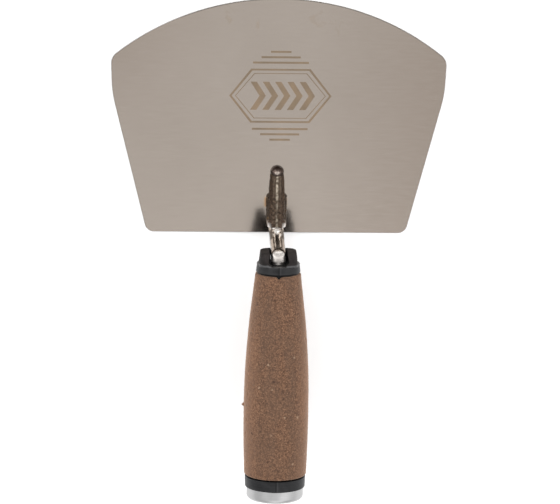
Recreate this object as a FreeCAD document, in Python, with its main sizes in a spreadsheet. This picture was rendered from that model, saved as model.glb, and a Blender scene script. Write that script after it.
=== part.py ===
"""Plastering trowel: flat stainless blade, welded gooseneck tang and a moulded cork handle.

Frame: origin at the centre of the blade's working face, +X to the right, +Y towards the
curved front edge, +Z up from the working face. The handle runs back along -Y and rises
towards its butt. All lengths are millimetres, all angles degrees.
"""
import FreeCAD, Part
import os
import Sketcher
from FreeCAD import Placement, Rotation, Vector

# ---------------------------------------------------------------- driving dimensions

DIMENSIONS = {
    # blade outline, seen from above
    "blade_front_width": 180.0,
    "blade_bend_width": 178.6,
    "blade_back_width": 140.0,
    "blade_span": 130.0,
    "blade_front_rise": 33.0,
    "blade_taper_span": 77.7,
    "blade_thickness": 1.2,
    "front_corner_radius": 7.0,
    "side_bend_radius": 67.0,
    "back_corner_radius": 5.0,
    "blade_edge_chamfer": 0.25,
    # line of the handle
    "handle_height": 37.6,
    "handle_rise": 4.5,
    # tang: foot on the blade, neck, shank in the handle
    "foot_reach": 34.9,
    "foot_nose_width": 7.0,
    "foot_width": 8.4,
    "foot_taper_span": 10.0,
    "foot_heel_inset": 4.4,
    "foot_nose_rise": 3.2,
    "foot_mid_rise": 5.2,
    "foot_heel_rise": 8.2,
    "foot_ridge_chamfer": 2.2,
    "foot_nose_radius": 2.6,
    "neck_width": 7.9,
    "neck_front_inset": 4.9,
    "neck_top_inset": 0.6,
    "neck_end": 5.0,
    "neck_heel_overhang": 1.6,
    "neck_heel_inset": 1.4,
    "neck_edge_radius": 1.9,
    "bend_outer_radius": 5.8,
    "shank_diameter": 6.8,
    "thread_diameter": 6.0,
    "thread_start": 114.0,
    "tang_end": 132.8,
    # weld metal round the foot
    "bead_run": 16.5,
    "bead_heel_gap": 6.0,
    "bead_width": 1.6,
    "bead_rise": 2.6,
    "bead_bulge": 0.35,
    "nose_weld_length": 3.4,
    "nose_weld_width": 3.7,
    "nose_weld_rise": 3.9,
    # front collar
    "collar_front": -0.3,
    "collar_front_width": 19.3,
    "collar_front_height": 18.8,
    "collar_corner_radius": 5.5,
    "collar_flare": 6.0,
    "collar_channel_width": 8.8,
    "collar_channel_floor": -2.5,
    "collar_well_width": 11.2,
    "collar_well_end": 6.3,
    "collar_well_radius": 2.0,
    "band_start": 5.8,
    "band_end": 11.3,
    "band_front_diameter": 22.7,
    "band_rear_diameter": 24.1,
    "shank_clearance": 0.1,
    "core_socket_depth": 2.2,
    # core and grip
    "core_diameter": 14.0,
    "core_end": 126.0,
    "core_clearance": 0.1,
    "grip_end": 122.3,
    "grip_front_diameter": 24.4,
    "grip_shoulder_station": 36.0,
    "grip_shoulder_diameter": 30.0,
    "grip_belly_station": 86.0,
    "grip_belly_diameter": 35.0,
    "grip_rear_diameter": 33.5,
    "grip_edge_radius": 0.9,
    # rear ring, cap and hidden fastening
    "ring_end": 129.1,
    "ring_front_diameter": 32.7,
    "ring_rear_diameter": 32.3,
    "nut_pocket_diameter": 18.0,
    "spigot_diameter": 23.0,
    "spigot_length": 1.6,
    "spigot_clearance": 0.1,
    "cap_end": 135.8,
    "cap_diameter": 30.5,
    "cap_rim_radius": 2.0,
    "cap_pocket_end": 133.3,
    "washer_diameter": 16.0,
    "washer_thickness": 1.2,
    "nut_across_flats": 10.0,
    "nut_thickness": 5.0,
}

document = FreeCAD.newDocument("plastering_trowel")
sheet = document.addObject("Spreadsheet::Sheet", "Dims")
for row, (alias, value) in enumerate(DIMENSIONS.items(), start=1):
    sheet.set(f"A{row}", alias)
    sheet.set(f"B{row}", str(value))
    sheet.setAlias(f"B{row}", alias)
document.recompute()


# ---------------------------------------------------------------- modelling helpers

def dims(expression):
    """Write an expression with bare dimension names as one that reads the sheet."""
    words = expression.split()
    return " ".join(f"Dims.{word}" if word in DIMENSIONS else word for word in words)


def new_body(label, in_handle=False):
    """Start a body. A handle body has its own +Z along the handle towards the butt and +Y up."""
    body = document.addObject("PartDesign::Body", label)
    body.Label = label
    if in_handle:
        body.Placement = Placement(Vector(0, 0, 0), Rotation(Vector(1, 0, 0), 90))
        body.setExpression("Placement.Base.y", dims("- blade_span / 2"))
        body.setExpression("Placement.Base.z", dims("handle_height * 1"))
        body.setExpression("Placement.Rotation.Angle", dims("90 - handle_rise"))
        document.recompute()
    return body


def origin_plane(body, role):
    """Find one of the body's own origin planes."""
    return next(item for item in body.Origin.OriginFeatures if item.Role == role)


def new_sketch(body, name, role, offset=None):
    """Attach a sketch to an origin plane, moved along the plane's normal by an expression."""
    sketch = body.newObject("Sketcher::SketchObject", name)
    sketch.AttachmentSupport = [(origin_plane(body, role), "")]
    sketch.MapMode = "FlatFace"
    if offset is not None:
        sketch.setExpression("AttachmentOffset.Base.z", dims(offset))
    document.recompute()
    return sketch


def bind(sketch, constraint, expression):
    """Add a constraint and bind its value to the sheet."""
    index = sketch.addConstraint(constraint)
    sketch.setExpression(f"Constraints[{index}]", dims(expression))


def draw_polygon(sketch, corners, guesses):
    """Draw a closed outline whose corners are pairs of expressions, starting from rough places."""
    count = len(corners)
    first = sketch.GeometryCount
    for index in range(count):
        start = Vector(*guesses[index], 0)
        end = Vector(*guesses[(index + 1) % count], 0)
        sketch.addGeometry(Part.LineSegment(start, end), False)
    for index in range(count):
        following = first + (index + 1) % count
        sketch.addConstraint(Sketcher.Constraint("Coincident", first + index, 2, following, 1))
    for index, (across, along) in enumerate(corners):
        line = first + index
        rough = guesses[index]
        bind(sketch, Sketcher.Constraint("DistanceX", -1, 1, line, 1, rough[0]), across)
        bind(sketch, Sketcher.Constraint("DistanceY", -1, 1, line, 1, rough[1]), along)


def evaluate(expression):
    """Work out an expression of dimension names as a number, for a sketch's rough places."""
    value = sheet.evalExpression(dims(expression))
    return float(getattr(value, "Value", value))


def polygon(body, name, role, corners, offset=None):
    """A sketch that holds one closed polygon."""
    sketch = new_sketch(body, name, role, offset)
    guesses = [(evaluate(across), evaluate(along)) for across, along in corners]
    draw_polygon(sketch, corners, guesses)
    document.recompute()
    return sketch


def end_at(sketch, geometry, place):
    """Which end of a line or arc, 1 or 2, lies at a place."""
    return min((1, 2), key=lambda point: sketch.getPoint(geometry, point).distanceToPoint(place))


def pin(sketch, geometry, place, expressions):
    """Bind the end of a line or arc that lies at a place to a pair of expressions."""
    point = end_at(sketch, geometry, place)
    across, along = expressions
    bind(sketch, Sketcher.Constraint("DistanceX", -1, 1, geometry, point, place.x), across)
    bind(sketch, Sketcher.Constraint("DistanceY", -1, 1, geometry, point, place.y), along)


def circle(body, name, role, diameter, offset=None):
    """A sketch that holds one circle about the origin."""
    sketch = new_sketch(body, name, role, offset)
    sketch.addGeometry(Part.Circle(Vector(0, 0, 0), Vector(0, 0, 1), 5), False)
    sketch.addConstraint(Sketcher.Constraint("Coincident", 0, 3, -1, 1))
    bind(sketch, Sketcher.Constraint("Diameter", 0, 10), diameter)
    document.recompute()
    return sketch


def pad(body, name, sketch, length, midplane=False, reverse=False):
    """Raise a sketch into a solid."""
    feature = body.newObject("PartDesign::Pad", name)
    feature.Profile = sketch
    feature.Midplane = midplane
    feature.Reversed = reverse
    feature.setExpression("Length", dims(length))
    document.recompute()
    return feature


def pocket(body, name, sketch, length=None, midplane=False, reverse=False):
    """Cut a sketch out of the solid, right through where no length is given."""
    before = body.Shape.Volume
    feature = body.newObject("PartDesign::Pocket", name)
    feature.Profile = sketch
    feature.Midplane = midplane
    feature.Reversed = reverse
    if length is None:
        feature.Type = "ThroughAll"
    else:
        feature.setExpression("Length", dims(length))
    document.recompute()
    if feature.Shape.Volume > before - 0.01:
        raise RuntimeError(f"{body.Label}: {name} cuts nothing")
    return feature


def revolve(body, name, sketch, role="Z_Axis"):
    """Turn a half profile once round an origin axis."""
    feature = body.newObject("PartDesign::Revolution", name)
    feature.Profile = sketch
    feature.ReferenceAxis = (origin_plane(body, role), [""])
    feature.Angle = 360
    document.recompute()
    return feature


def edge_names(shape, wanted):
    """Names of the edges for which wanted(middle point, direction) holds."""
    names = []
    for number, edge in enumerate(shape.Edges, start=1):
        half = (edge.FirstParameter + edge.LastParameter) / 2
        if wanted(edge.valueAt(half), edge.tangentAt(half)):
            names.append(f"Edge{number}")
    return names


def dress(body, kind, name, base, wanted, size):
    """Fillet or chamfer the chosen edges of a feature."""
    names = edge_names(base.Shape, wanted)
    if not names:
        raise RuntimeError(f"{body.Label}: {name} found no edge")
    feature = body.newObject(f"PartDesign::{kind}", name)
    feature.Base = (base, names)
    feature.setExpression("Radius" if kind == "Fillet" else "Size", dims(size))
    document.recompute()
    body.Tip = feature
    return feature


def fillet(body, name, base, wanted, size):
    return dress(body, "Fillet", name, base, wanted, size)


def chamfer(body, name, base, wanted, size):
    return dress(body, "Chamfer", name, base, wanted, size)


def turned(label, profile):
    """A turned handle piece from its half profile of (radius, station) expressions."""
    body = new_body(label, in_handle=True)
    revolve(body, "turn", polygon(body, "half_profile", "XZ_Plane", profile))
    return body


def size(name):
    """A driving dimension as a plain number."""
    return DIMENSIONS[name]


# ---------------------------------------------------------------- blade

def build_blade():
    """Flat plate: straight back edge, tapered sides with a soft bend, one wide arc in front."""
    body = new_body("blade")
    sketch = new_sketch(body, "outline", "XY_Plane")
    half_front = size("blade_front_width") / 2
    half_bend = size("blade_bend_width") / 2
    half_back = size("blade_back_width") / 2
    back = -size("blade_span") / 2
    crest = size("blade_span") / 2
    shoulder = crest - size("blade_front_rise")
    bend = back + size("blade_taper_span")
    places = [
        ("blade_front_width / 2", "blade_span / 2 - blade_front_rise"),
        ("blade_bend_width / 2", "blade_taper_span - blade_span / 2"),
        ("blade_back_width / 2", "-1 * blade_span / 2"),
    ]
    places += [(f"-1 * {across}", along) for across, along in reversed(places)]
    right = [(half_front, shoulder), (half_bend, bend), (half_back, back)]
    left = [(-across, along) for across, along in reversed(right)]
    corners = [Vector(across, along, 0) for across, along in right + left]
    for start, end in zip(corners, corners[1:]):
        sketch.addGeometry(Part.LineSegment(start, end), False)
    sketch.addGeometry(Part.Arc(corners[-1], Vector(0, crest, 0), corners[0]), False)
    arc_index = len(corners) - 1
    for number, corner in enumerate(corners):
        before = (number - 1) % len(corners)
        sketch.addConstraint(Sketcher.Constraint(
            "Coincident", before, end_at(sketch, before, corner),
            number, end_at(sketch, number, corner)))
        pin(sketch, number, corner, places[number])
    arc_radius = "( ( blade_front_width / 2 ) ^ 2 + blade_front_rise ^ 2 ) / ( 2 * blade_front_rise )"
    bind(sketch, Sketcher.Constraint("Radius", arc_index, evaluate(arc_radius)), arc_radius)
    document.recompute()
    plate = pad(body, "plate", sketch, "blade_thickness")

    def upright_at(along):
        return lambda middle, direction: abs(direction.z) > 0.9 and abs(middle.y - along) < 1.5

    rounded = fillet(body, "back_corners", plate, upright_at(back), "back_corner_radius")
    rounded = fillet(body, "side_bends", rounded, upright_at(bend), "side_bend_radius")
    rounded = fillet(body, "front_corners", rounded, upright_at(shoulder), "front_corner_radius")
    thickness = size("blade_thickness")
    chamfer(body, "top_edge", rounded,
            lambda middle, direction: abs(middle.z - thickness) < 0.01, "blade_edge_chamfer")
    return body


# ---------------------------------------------------------------- tang

def neck_bar(body):
    """Flat bar of the neck: leans back as it rises and turns into the line of the handle."""
    shank_radius = "shank_diameter / 2"
    rise = "neck_end * tan( handle_rise )"
    outline = polygon(body, "neck_side", "YZ_Plane", [
        ("neck_front_inset - blade_span / 2", "1 * blade_thickness"),
        ("neck_top_inset - blade_span / 2", f"handle_height + {shank_radius}"),
        ("-1 * neck_end - blade_span / 2", f"handle_height + {shank_radius} + {rise}"),
        ("-1 * neck_end - blade_span / 2", f"handle_height - {shank_radius} + {rise}"),
        ("-1 * neck_heel_overhang - blade_span / 2", "blade_thickness + foot_heel_rise"),
        ("neck_heel_inset - blade_span / 2", "1 * blade_thickness"),
    ])
    bar = pad(body, "neck", outline, "neck_width", midplane=True)
    top = size("handle_height") + size("shank_diameter") / 2
    bend_y = size("neck_top_inset") - size("blade_span") / 2
    bar = fillet(body, "bend", bar,
                 lambda middle, direction: abs(direction.x) > 0.9 and abs(middle.z - top) < 0.1
                 and abs(middle.y - bend_y) < 0.1,
                 "bend_outer_radius")
    foot_top = size("blade_thickness") + size("foot_heel_rise")

    def upright(towards_front):
        """Long edges of the neck on its front or on its back."""
        return lambda middle, direction: (
            abs(direction.x) < 0.1 and abs(direction.z) > 0.98 and foot_top < middle.z < 30
            and (direction.y * direction.z < 0) and (middle.y > -64) == towards_front)

    bar = fillet(body, "front_edges", bar, upright(True), "neck_edge_radius")
    return fillet(body, "back_edges", bar, upright(False), "neck_edge_radius")


def foot_section(body, name, width, rise, inset):
    """One cross-section of the foot: a bar with a flat-topped roof."""
    floor = "1 * blade_thickness"
    eave = f"blade_thickness + {rise} - foot_ridge_chamfer"
    ridge = f"blade_thickness + {rise}"
    flat = f"( {width} / 2 - foot_ridge_chamfer )"
    return polygon(body, name, "XZ_Plane", [
        (f"{width} / 2", floor),
        (f"{width} / 2", eave),
        (f"1 * {flat}", ridge),
        (f"-1 * {flat}", ridge),
        (f"-1 * {width} / 2", eave),
        (f"-1 * {width} / 2", floor),
    ], offset=f"blade_span / 2 - {inset}")


def build_tang():
    """Forged tang: ridged foot, neck that leans back, tight bend and a round threaded shank."""
    body = new_body("tang")
    neck_bar(body)

    nose = foot_section(body, "nose_section", "foot_nose_width", "foot_nose_rise", "foot_reach")
    shoulder = foot_section(body, "shoulder_section", "foot_width", "foot_mid_rise",
                            "( foot_reach - foot_taper_span )")
    heel = foot_section(body, "heel_section", "foot_width", "foot_heel_rise", "foot_heel_inset")
    foot = body.newObject("PartDesign::AdditiveLoft", "foot")
    foot.Profile = nose
    foot.Sections = [shoulder, heel]
    foot.Ruled = True
    document.recompute()
    nose_y = size("foot_reach") - size("blade_span") / 2
    fillet(body, "nose_round", foot,
           lambda middle, direction: abs(direction.z) > 0.99 and abs(middle.y - nose_y) < 0.2,
           "foot_nose_radius")

    shank_profile = new_sketch(body, "shank_profile", "YZ_Plane")
    shank_profile.AttachmentOffset = Placement(Vector(0, 0, 0), Rotation(Vector(0, 0, 1), 170))
    shank_profile.setExpression("AttachmentOffset.Base.x", dims("- blade_span / 2"))
    shank_profile.setExpression("AttachmentOffset.Base.y", dims("1 * handle_height"))
    shank_profile.setExpression("AttachmentOffset.Rotation.Angle", dims("180 - handle_rise"))
    corners = [
        ("neck_end / 2", "0 * neck_end"),
        ("neck_end / 2", "shank_diameter / 2"),
        ("1 * thread_start", "shank_diameter / 2"),
        ("thread_start + 0.4", "thread_diameter / 2"),
        ("1 * tang_end", "thread_diameter / 2"),
        ("1 * tang_end", "0 * neck_end"),
    ]
    draw_polygon(shank_profile, corners, [(evaluate(along), evaluate(out)) for along, out in corners])
    document.recompute()
    shank = body.newObject("PartDesign::Revolution", "shank")
    shank.Profile = shank_profile
    shank.ReferenceAxis = (shank_profile, ["H_Axis"])
    shank.Angle = 360
    document.recompute()
    return body


# ---------------------------------------------------------------- weld metal

def build_weld_bead(label, side):
    """Fillet weld along one flank of the foot."""
    body = new_body(label)
    flank = f"{side} * foot_width / 2"
    toe = f"{side} * ( foot_width / 2 + bead_width )"
    crown = f"{side} * ( foot_width / 2 + bead_width / 2 + bead_bulge )"
    section = polygon(body, "section", "XZ_Plane", [
        (flank, "1 * blade_thickness"),
        (toe, "1 * blade_thickness"),
        (crown, "blade_thickness + bead_rise / 2 + bead_bulge"),
        (flank, "blade_thickness + bead_rise"),
    ], offset="blade_span / 2 - bead_heel_gap - bead_run")
    pad(body, "run", section, "bead_run")
    return body


def build_nose_weld(tang):
    """Puddle of weld metal that wraps the nose of the foot and stands on the blade."""
    dome = document.addObject("Part::Ellipsoid", "puddle")
    dome.setExpression("Radius1", dims("nose_weld_rise * 1 mm"))
    dome.setExpression("Radius2", dims("nose_weld_length * 1 mm"))
    dome.setExpression("Radius3", dims("nose_weld_width * 1 mm"))
    dome.Angle1 = 0
    dome.Placement = Placement(Vector(0, 0, 0), Rotation(Vector(0, 0, 1), 90))
    dome.setExpression("Placement.Base.y", dims("foot_reach - blade_span / 2 - 0.6"))
    dome.setExpression("Placement.Base.z", dims("1 * blade_thickness"))
    solid = document.addObject("Part::Cut", "weld_nose")
    solid.Base = dome
    solid.Tool = tang
    document.recompute()
    return solid


# ---------------------------------------------------------------- handle pieces

def build_front_collar():
    """Moulded ferrule: two flat ears beside the neck, an open channel for the bend, a plain band."""
    body = new_body("front_collar", in_handle=True)
    half_width = "collar_front_width / 2"
    half_height = "collar_front_height / 2"
    front = polygon(body, "ear_outline", "XY_Plane", [
        (f"1 * {half_width}", f"1 * {half_height}"),
        (f"-1 * {half_width}", f"1 * {half_height}"),
        (f"-1 * {half_width}", f"-1 * {half_height}"),
        (f"1 * {half_width}", f"-1 * {half_height}"),
    ], offset="1 * collar_front")
    ears = pad(body, "ears", front, "band_start - collar_front + 1")
    ears.TaperAngle = 0
    ears.setExpression("TaperAngle", dims("1 * collar_flare"))
    document.recompute()
    ears = fillet(body, "ear_corners", ears,
                  lambda middle, direction: abs(direction.z) > 0.9, "collar_corner_radius")
    band = polygon(body, "band_profile", "XZ_Plane", [
        ("0 * band_start", "1 * band_start"),
        ("band_front_diameter / 2", "1 * band_start"),
        ("band_rear_diameter / 2", "1 * band_end"),
        ("0 * band_start", "1 * band_end"),
    ])
    band = revolve(body, "band", band)
    throat_half = "( neck_width + shank_clearance ) / 2"
    throat = polygon(body, "throat_outline", "XZ_Plane", [
        (f"1 * {throat_half}", "collar_front - 1"),
        (f"1 * {throat_half}", "1 * collar_well_end"),
        (f"-1 * {throat_half}", "1 * collar_well_end"),
        (f"-1 * {throat_half}", "collar_front - 1"),
    ])
    pocket(body, "throat", throat, "2 * band_rear_diameter", midplane=True)
    channel = polygon(body, "channel_outline", "XZ_Plane", [
        ("collar_channel_width / 2", "collar_front - 1"),
        ("collar_well_width / 2", "collar_well_end - collar_well_radius"),
        ("collar_well_width / 2 - collar_well_radius", "1 * collar_well_end"),
        ("-1 * ( collar_well_width / 2 - collar_well_radius )", "1 * collar_well_end"),
        ("-1 * collar_well_width / 2", "collar_well_end - collar_well_radius"),
        ("-1 * collar_channel_width / 2", "collar_front - 1"),
    ], offset="-1 * ( collar_front_height + collar_channel_floor )")
    pocket(body, "channel", channel, "2 * collar_front_height", midplane=True)
    bore = circle(body, "bore_circle", "XY_Plane", "shank_diameter + 2 * shank_clearance",
                  offset="1 * collar_front")
    pocket(body, "bore", bore, "2 * band_end", midplane=True)
    socket = circle(body, "socket_circle", "XY_Plane", "core_diameter + 2 * core_clearance",
                    offset="1 * band_end")
    pocket(body, "socket", socket, "2 * core_socket_depth", midplane=True)
    return body


def build_handle_core():
    """Plastic tube on the shank, under the grip, with its ends in the collar and the ring."""
    return turned("handle_core", [
        ("shank_diameter / 2 + shank_clearance", "band_end - core_socket_depth"),
        ("core_diameter / 2", "band_end - core_socket_depth"),
        ("core_diameter / 2", "1 * core_end"),
        ("shank_diameter / 2 + shank_clearance", "1 * core_end"),
    ])


def build_cork_grip():
    """Moulded cork grip: straight taper in front, a long swell to the belly, a slight tail."""
    body = new_body("cork_grip", in_handle=True)
    bore = "core_diameter / 2 + core_clearance"
    places = [
        ("grip_front_diameter / 2", "1 * band_end"),
        ("grip_shoulder_diameter / 2", "1 * grip_shoulder_station"),
        ("grip_belly_diameter / 2", "1 * grip_belly_station"),
        ("grip_rear_diameter / 2", "1 * grip_end"),
        (bore, "1 * grip_end"),
        (bore, "1 * band_end"),
    ]
    front, shoulder, belly, rear, rear_bore, front_bore = [
        Vector(evaluate(across), evaluate(along), 0) for across, along in places]

    def swell(start, end):
        """Arc that lies along the handle at the belly."""
        drop = belly.x - (start.x if end is belly else end.x)
        run = end.y - start.y
        radius = (drop ** 2 + run ** 2) / (2 * drop)
        centre = Vector(belly.x - radius, belly.y, 0)
        half_way = centre + ((start + end) / 2 - centre).normalize() * radius
        return Part.Arc(start, half_way, end)

    sketch = new_sketch(body, "half_profile", "XZ_Plane")
    sketch.addGeometry([
        Part.LineSegment(front, shoulder),
        swell(shoulder, belly),
        swell(belly, rear),
        Part.LineSegment(rear, rear_bore),
        Part.LineSegment(rear_bore, front_bore),
        Part.LineSegment(front_bore, front),
    ], False)
    corners = [front, shoulder, belly, rear, rear_bore, front_bore]
    for number, corner in enumerate(corners):
        before = (number - 1) % len(corners)
        sketch.addConstraint(Sketcher.Constraint(
            "Coincident", before, end_at(sketch, before, corner),
            number, end_at(sketch, number, corner)))
        pin(sketch, number, corner, places[number])
    for arc in (1, 2):
        bind(sketch, Sketcher.Constraint("DistanceY", -1, 1, arc, 3, belly.y),
             "1 * grip_belly_station")
    document.recompute()
    turn = revolve(body, "turn", sketch)
    outer = size("core_diameter") / 2 + 1
    fillet(body, "end_edges", turn,
           lambda middle, direction: abs(direction.z) < 0.01
           and abs(Vector(middle.x, middle.y, 0).Length) > outer
           and min(abs(middle.z - size("band_end")), abs(middle.z - size("grip_end"))) < 0.01,
           "grip_edge_radius")
    return body


def build_rear_ring():
    """Plastic ring that closes the grip: socket for the core, nut pocket, seat for the cap."""
    body = turned("rear_ring", [
        ("core_diameter / 2 + core_clearance", "1 * grip_end"),
        ("ring_front_diameter / 2", "1 * grip_end"),
        ("ring_rear_diameter / 2", "1 * ring_end"),
        ("spigot_diameter / 2 + spigot_clearance", "1 * ring_end"),
        ("spigot_diameter / 2 + spigot_clearance", "ring_end - spigot_length"),
        ("nut_pocket_diameter / 2", "ring_end - spigot_length"),
        ("nut_pocket_diameter / 2", "1 * core_end"),
        ("core_diameter / 2 + core_clearance", "1 * core_end"),
    ])
    return body


def build_end_cap():
    """Turned aluminium cap with a rounded rim, a spigot for the ring and a pocket for the nut."""
    body = turned("end_cap", [
        ("0 * cap_end", "1 * cap_pocket_end"),
        ("nut_pocket_diameter / 2", "1 * cap_pocket_end"),
        ("nut_pocket_diameter / 2", "ring_end - spigot_length"),
        ("spigot_diameter / 2", "ring_end - spigot_length"),
        ("spigot_diameter / 2", "1 * ring_end"),
        ("cap_diameter / 2", "1 * ring_end"),
        ("cap_diameter / 2", "1 * cap_end"),
        ("0 * cap_end", "1 * cap_end"),
    ])
    end = size("cap_end")
    fillet(body, "rim", body.Tip,
           lambda middle, direction: abs(middle.z - end) < 0.01 and abs(direction.z) < 0.01,
           "cap_rim_radius")
    return body


def build_washer():
    """Flat washer that bears on the core inside the rear ring."""
    return turned("washer", [
        ("thread_diameter / 2", "1 * core_end"),
        ("washer_diameter / 2", "1 * core_end"),
        ("washer_diameter / 2", "core_end + washer_thickness"),
        ("thread_diameter / 2", "core_end + washer_thickness"),
    ])


def build_lock_nut():
    """Hexagon nut that draws the whole handle up the shank."""
    body = new_body("lock_nut", in_handle=True)
    across = "nut_across_flats"
    corner = f"{across} / cos( 30 ) / 2"
    corners = [(f"{corner} * cos( {turn * 60} )", f"{corner} * sin( {turn * 60} )")
               for turn in range(6)]
    hexagon = polygon(body, "hexagon", "XY_Plane", corners, offset="core_end + washer_thickness")
    pad(body, "blank", hexagon, "1 * nut_thickness")
    hole = circle(body, "thread_hole", "XY_Plane", "1 * thread_diameter", offset="1 * core_end")
    pocket(body, "thread", hole, "4 * nut_thickness", midplane=True)
    return body


def build_parts():
    """Every separate piece of the trowel."""
    tang = build_tang()
    return [
        build_blade(),
        tang,
        build_weld_bead("weld_bead_left", "-1"),
        build_weld_bead("weld_bead_right", "1"),
        build_nose_weld(tang),
        build_front_collar(),
        build_handle_core(),
        build_cork_grip(),
        build_rear_ring(),
        build_washer(),
        build_lock_nut(),
        build_end_cap(),
    ]


PARTS = build_parts()
for item in document.Objects:
    if "Invalid" in item.State or "Error" in item.State:
        raise RuntimeError(f"{item.Label} did not compute: {item.State}")
os.makedirs("parts", exist_ok=True)
for part in PARTS:
    if part.Shape.isNull() or not part.Shape.isValid() or part.Shape.Volume <= 0:
        raise RuntimeError(f"{part.Label} has no valid shape")
for part in PARTS:
    part.Shape.exportStep(f"parts/{part.Label}.step")
    box = part.Shape.BoundBox
    print(f"{part.Label}: {len(part.Shape.Solids)} solid, {part.Shape.Volume:.0f} mm3, "
          f"{box.XLength:.1f} x {box.YLength:.1f} x {box.ZLength:.1f} mm")
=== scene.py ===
"""Plastering trowel with a cork grip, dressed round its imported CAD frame. Lengths are metres."""
import math
import random

import bmesh
import bpy
import numpy as np
from mathutils import Matrix, Vector, noise


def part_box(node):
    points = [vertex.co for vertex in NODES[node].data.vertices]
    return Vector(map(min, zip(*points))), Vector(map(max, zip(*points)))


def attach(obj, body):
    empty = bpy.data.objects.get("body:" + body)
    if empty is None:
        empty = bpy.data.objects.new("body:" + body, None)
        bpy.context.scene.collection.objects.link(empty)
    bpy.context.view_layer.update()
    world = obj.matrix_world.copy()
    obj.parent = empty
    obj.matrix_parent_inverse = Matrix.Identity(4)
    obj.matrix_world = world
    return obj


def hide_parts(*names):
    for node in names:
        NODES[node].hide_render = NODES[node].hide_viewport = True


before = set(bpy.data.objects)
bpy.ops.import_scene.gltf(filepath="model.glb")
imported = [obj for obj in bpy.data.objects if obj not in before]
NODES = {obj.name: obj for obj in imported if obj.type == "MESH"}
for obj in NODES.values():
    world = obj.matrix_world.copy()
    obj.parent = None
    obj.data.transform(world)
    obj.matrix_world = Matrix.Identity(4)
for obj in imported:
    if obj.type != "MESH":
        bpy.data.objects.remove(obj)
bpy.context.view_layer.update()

MM = 0.001
BODY = "root"
SCENE = bpy.context.scene
SCENE.view_settings.view_transform = "Standard"


# ---------------------------------------------------------------- camera

def make_camera():
    """Long lens high above the tool, leaning towards the blade's front edge, with +Y up the picture."""
    tilt = math.radians(17.0)
    yaw = math.radians(2.57)
    roll = math.radians(1.13)
    target = Vector((1.6, -70.4, 20.0)) * MM
    distance = 2.4
    sensor_width = 36.0
    focal_length = 286.6
    far_clip = 20.0
    towards = Vector((-math.sin(yaw) * math.cos(tilt), math.sin(tilt), math.cos(yaw) * math.cos(tilt)))
    towards.normalize()
    up = Vector((0, 1, 0))
    up = (up - towards * up.dot(towards)).normalized()
    right = up.cross(towards)
    turned_right = math.cos(roll) * right + math.sin(roll) * up
    turned_up = math.cos(roll) * up - math.sin(roll) * right
    data = bpy.data.cameras.new("camera")
    data.sensor_width = sensor_width
    data.lens = focal_length
    data.clip_end = far_clip
    camera = bpy.data.objects.new("camera", data)
    SCENE.collection.objects.link(camera)
    axes = Matrix((turned_right, turned_up, towards)).transposed()
    camera.matrix_world = Matrix.Translation(target + towards * distance) @ axes.to_4x4()
    SCENE.camera = camera


# ---------------------------------------------------------------- places read from the frame

def points_of(node):
    """The node's vertices as an array."""
    data = NODES[node].data
    flat = np.zeros(len(data.vertices) * 3, np.float32)
    data.vertices.foreach_get("co", flat)
    return flat.reshape(-1, 3).astype(float)


def middle_of(node):
    low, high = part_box(node)
    return (low + high) / 2


def handle_frame():
    """Handle axes: Z along the handle to the butt, Y up, X across; origin above the blade's back edge."""
    front = middle_of("handle_core")
    back = middle_of("washer")
    along = (back - front).normalized()
    across = Vector((1, 0, 0))
    up = along.cross(across)
    blade_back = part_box("blade")[0].y
    start = front - along * ((blade_back - front.y) / -along.y)
    axes = Matrix((across, up, along)).transposed().to_4x4()
    return Matrix.Translation(start) @ axes


HANDLE = handle_frame()
TO_HANDLE = HANDLE.inverted()
BLADE_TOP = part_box("blade")[1].z
BACK_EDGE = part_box("blade")[0].y
FOOT_TOP = BLADE_TOP + 8.2 * MM
BEND = FOOT_TOP + 27.3 * MM


def handle_points(node):
    """The node's vertices in the handle's axes."""
    turn = np.array(TO_HANDLE)
    return points_of(node) @ turn[:3, :3].T + turn[:3, 3]


def handle_profile(node, least_radius=0.0):
    """(stations, radii) of a node's outer surface along the handle."""
    local = handle_points(node)
    radii = np.hypot(local[:, 0], local[:, 1])
    keep = radii > least_radius
    stations = local[keep, 2]
    order = np.argsort(stations)
    return stations[order], radii[keep][order]


# ---------------------------------------------------------------- mesh helpers

def add_piece(name, mesh, material, slot, *nodes, smooth=True):
    """Link a mesh as a piece of the trowel that may stand for CAD nodes."""
    piece = bpy.data.objects.new(name, mesh)
    SCENE.collection.objects.link(piece)
    mesh.materials.clear()
    mesh.materials.append(material)
    if smooth:
        mesh.polygons.foreach_set("use_smooth", [True] * len(mesh.polygons))
    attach(piece, BODY)
    if nodes:
        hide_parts(*nodes)
    return piece


def mesh_from(name, vertices, faces):
    mesh = bpy.data.meshes.new(name)
    mesh.from_pydata([tuple(v) for v in vertices], [], faces)
    mesh.validate()
    recalculate(mesh)
    return mesh


def recalculate(mesh):
    """Make every face point outwards."""
    work = bmesh.new()
    work.from_mesh(mesh)
    bmesh.ops.recalc_face_normals(work, faces=work.faces)
    work.to_mesh(mesh)
    work.free()


def tube_faces(rings, around):
    """Quads between each ring of points and the next."""
    faces = []
    for ring in range(len(rings) - 1):
        first = rings[ring]
        second = rings[ring + 1]
        for step in range(around):
            after = (step + 1) % around
            faces.append((first + step, first + after, second + after, second + step))
    return faces


def lathe(name, profile, around=160, shape=None):
    """Closed solid turned about the handle axis from a loop of (radius, station) points."""
    vertices = []
    starts = []
    for radius, station in profile:
        starts.append(len(vertices))
        for step in range(around):
            angle = 2 * math.pi * step / around
            r = radius if shape is None else radius + shape(radius, station, angle)
            vertices.append(HANDLE @ Vector((r * math.cos(angle), r * math.sin(angle), station)))
    faces = tube_faces(starts + [starts[0]], around)
    return mesh_from(name, vertices, faces)


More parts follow.
